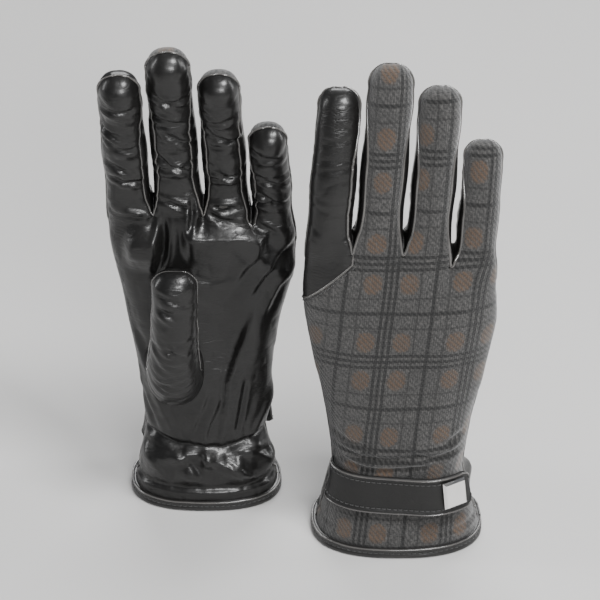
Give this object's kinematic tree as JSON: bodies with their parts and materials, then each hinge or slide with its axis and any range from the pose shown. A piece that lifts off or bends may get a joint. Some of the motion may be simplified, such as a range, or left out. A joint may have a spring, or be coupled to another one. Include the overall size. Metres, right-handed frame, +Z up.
{
  "type": "pair of dress gloves",
  "caption": "Pair of leather dress gloves standing on their cuffs, with checked wool backs, gathered elastic wrists and a wrist strap closed by a press stud with a metal plate.",
  "frame": {"origin": "centre of the pair's footprint, on the surface the cuffs stand on", "axes": "+Z up along the fingers; -Y towards the palm of the left-hand glove and the back of the right-hand glove; the left-hand glove is at -X"},
  "size_m": [0.185, 0.0888, 0.2473],
  "materials": {
    "leather": "glossy black nappa",
    "tweed": "grey checked wool with rust overchecks",
    "lining": "brushed knit",
    "hem_leather": "glossy black binding",
    "strap_leather": "glossy black, edge painted",
    "elastic": "woven webbing",
    "nickel": "polished nickel"
  },
  "bodies": {
    "left_hand": {"left_palm_panel": "leather", "left_back_panel": "tweed", "left_hand_lining": "lining", "left_hem_binding": "hem_leather", "left_wrist_elastic": "elastic", "left_snap_stud": "nickel"},
    "right_hand": {"right_palm_panel": "leather", "right_back_panel": "tweed", "right_hand_lining": "lining", "right_hem_binding": "hem_leather", "right_wrist_elastic": "elastic", "right_snap_stud": "nickel"},
    "left_strap": {"left_strap": "strap_leather", "left_snap_cap": "nickel", "left_snap_socket": "nickel"},
    "left_thumb": {"left_thumb_front": "leather", "left_thumb_back": "leather", "left_thumb_lining": "lining"},
    "left_index": {"left_index_front": "leather", "left_index_back": "leather", "left_index_inner_fourchette": "leather", "left_index_lining": "lining"},
    "left_middle": {"left_middle_front": "leather", "left_middle_back": "tweed", "left_middle_outer_fourchette": "leather", "left_middle_inner_fourchette": "leather", "left_middle_lining": "lining"},
    "left_ring": {"left_ring_front": "leather", "left_ring_back": "tweed", "left_ring_outer_fourchette": "leather", "left_ring_inner_fourchette": "leather", "left_ring_lining": "lining"},
    "left_pinky": {"left_pinky_front": "leather", "left_pinky_back": "tweed", "left_pinky_outer_fourchette": "leather", "left_pinky_lining": "lining"},
    "right_strap": {"right_strap": "strap_leather", "right_snap_cap": "nickel", "right_snap_socket": "nickel"},
    "right_thumb": {"right_thumb_front": "leather", "right_thumb_back": "leather", "right_thumb_lining": "lining"},
    "right_index": {"right_index_front": "leather", "right_index_back": "leather", "right_index_inner_fourchette": "leather", "right_index_lining": "lining"},
    "right_middle": {"right_middle_front": "leather", "right_middle_back": "tweed", "right_middle_outer_fourchette": "leather", "right_middle_inner_fourchette": "leather", "right_middle_lining": "lining"},
    "right_ring": {"right_ring_front": "leather", "right_ring_back": "tweed", "right_ring_outer_fourchette": "leather", "right_ring_inner_fourchette": "leather", "right_ring_lining": "lining"},
    "right_pinky": {"right_pinky_front": "leather", "right_pinky_back": "tweed", "right_pinky_outer_fourchette": "leather", "right_pinky_lining": "lining"}
  },
  "joints": [
    {"name": "pair_slide", "type": "slide", "parent": "left_hand", "child": "right_hand", "axis": [1, 0, 0], "range_m": [0, 0.15]},
    {"name": "left_index_flex", "type": "hinge", "parent": "left_hand", "child": "left_index", "pos_m": [-0.07917, 0.00814, 0.15822], "axis": [1, 0, 0], "range_deg": [0, 70]},
    {"name": "left_middle_flex", "type": "hinge", "parent": "left_hand", "child": "left_middle", "pos_m": [-0.05647, 0.00764, 0.15935], "axis": [1, 0, 0], "range_deg": [0, 70]},
    {"name": "left_ring_flex", "type": "hinge", "parent": "left_hand", "child": "left_ring", "pos_m": [-0.03367, 0.00834, 0.15846], "axis": [1, 0, 0], "range_deg": [0, 70]},
    {"name": "left_pinky_flex", "type": "hinge", "parent": "left_hand", "child": "left_pinky", "pos_m": [-0.01247, 0.00934, 0.15154], "axis": [1, 0, 0], "range_deg": [0, 70]},
    {"name": "left_thumb_swing", "type": "hinge", "parent": "left_hand", "child": "left_thumb", "pos_m": [-0.07227, 0.00644, 0.0765], "axis": [0, 0, -1], "range_deg": [0, 45]},
    {"name": "left_strap_open", "type": "hinge", "parent": "left_hand", "child": "left_strap", "pos_m": [-0.07664, 0.0233, 0.0335], "axis": [0, 0, 1], "range_deg": [0, 100]},
    {"name": "right_index_flex", "type": "hinge", "parent": "right_hand", "child": "right_index", "pos_m": [0.01283, -0.00466, 0.15822], "axis": [-1, 0, 0], "range_deg": [0, 70]},
    {"name": "right_middle_flex", "type": "hinge", "parent": "right_hand", "child": "right_middle", "pos_m": [0.03553, -0.00416, 0.15935], "axis": [-1, 0, 0], "range_deg": [0, 70]},
    {"name": "right_ring_flex", "type": "hinge", "parent": "right_hand", "child": "right_ring", "pos_m": [0.05833, -0.00486, 0.15846], "axis": [-1, 0, 0], "range_deg": [0, 70]},
    {"name": "right_pinky_flex", "type": "hinge", "parent": "right_hand", "child": "right_pinky", "pos_m": [0.07953, -0.00586, 0.15154], "axis": [-1, 0, 0], "range_deg": [0, 70]},
    {"name": "right_thumb_swing", "type": "hinge", "parent": "right_hand", "child": "right_thumb", "pos_m": [0.01973, -0.00296, 0.0765], "axis": [0, 0, 1], "range_deg": [0, 45]},
    {"name": "right_strap_open", "type": "hinge", "parent": "right_hand", "child": "right_strap", "pos_m": [0.01239, -0.02048, 0.0335], "axis": [0, 0, -1], "range_deg": [0, 100]}
  ]
}
